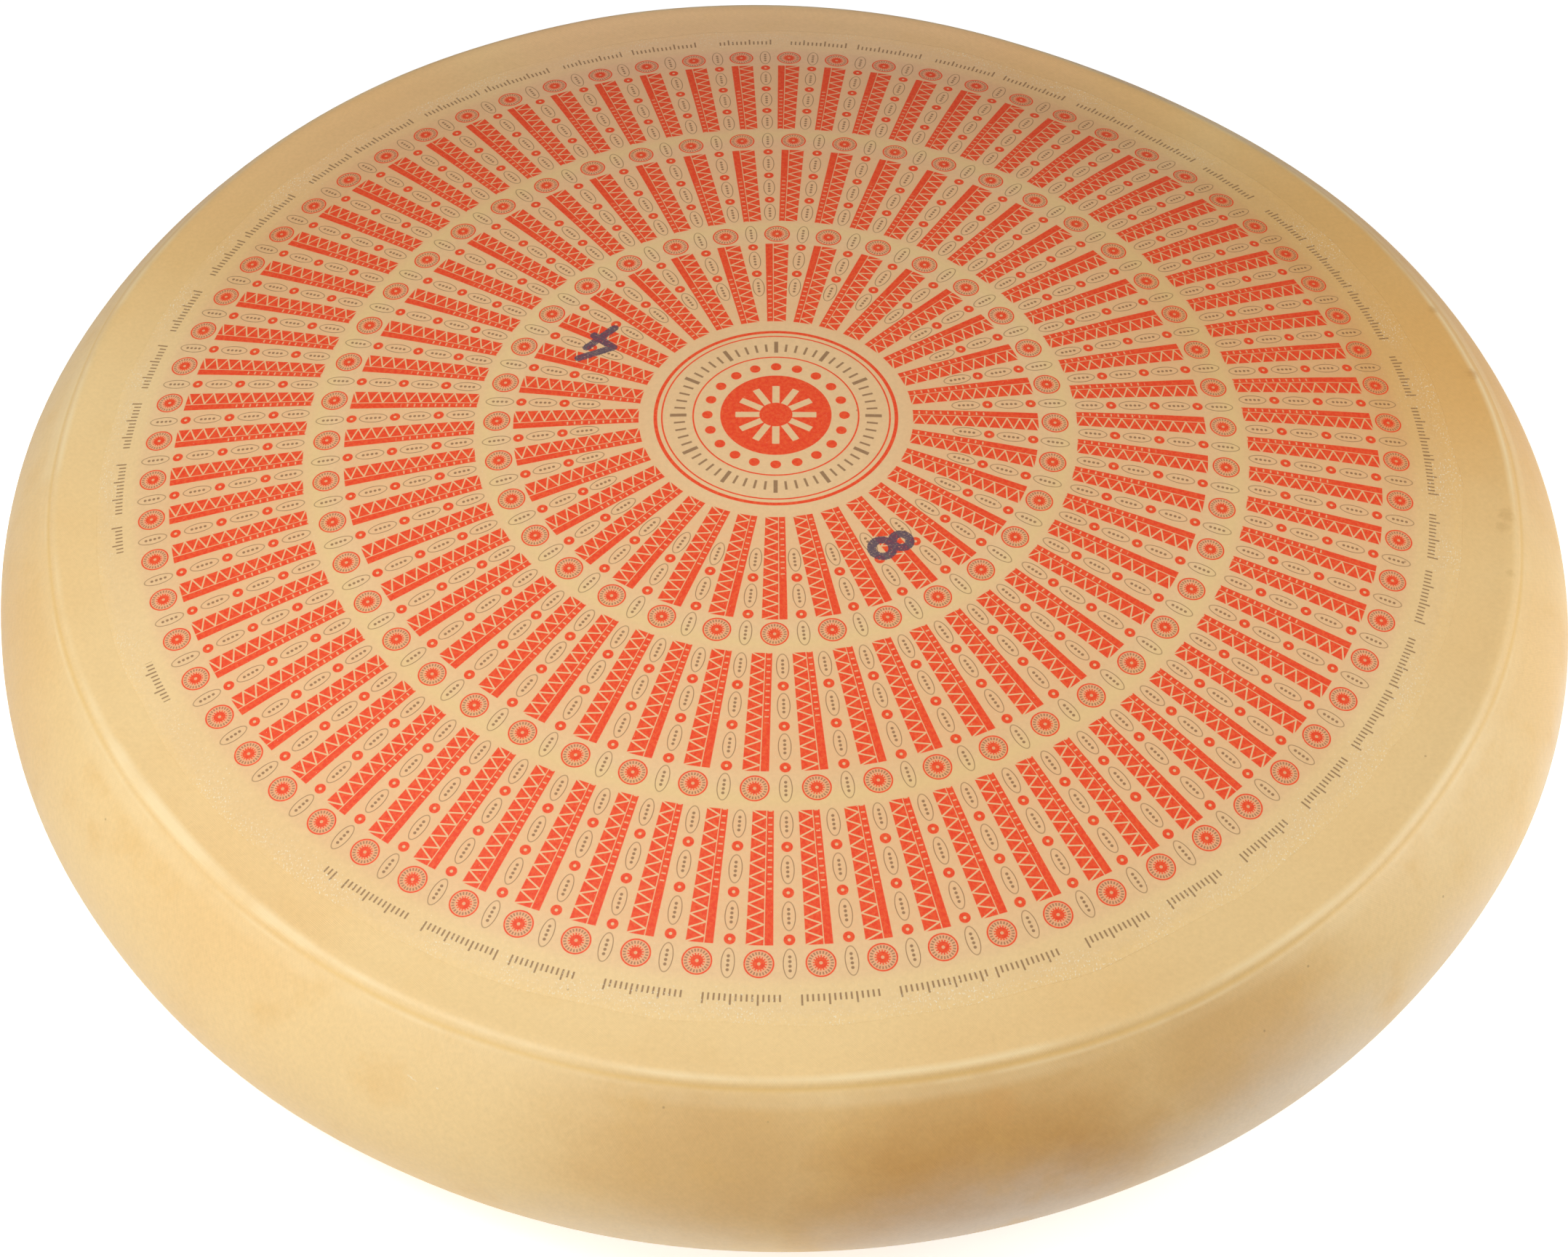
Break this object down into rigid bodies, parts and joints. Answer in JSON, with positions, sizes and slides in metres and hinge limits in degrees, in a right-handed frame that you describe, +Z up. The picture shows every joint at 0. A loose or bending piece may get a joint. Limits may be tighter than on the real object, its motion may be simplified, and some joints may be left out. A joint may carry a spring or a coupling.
{
  "type": "cheese wheel",
  "caption": "Large whole wheel of hard cheese: domed upper face under a thin printed sheet, crisp rims and a bulging smooth rind, lying on its flat underside.",
  "frame": {"origin": "centre of the flat underside, on the ground", "axes": "+Z up along the wheel's own axis, X and Y across it, with -Y towards the side the camera stands on"},
  "size_m": [0.88, 0.88, 0.1789],
  "materials": {
    "rind": "natural smooth ivory-yellow cheese rind with tan mottling, a faint cloth imprint and a soft satin sheen",
    "printed_sheet": "thin translucent marking sheet laid on the rind, printed with plain red blocks, dots and rings and grey outlines, satin"
  },
  "bodies": {
    "root": {"cheese_wheel": "rind", "printed_sheet": "printed_sheet"}
  },
  "joints": []
}
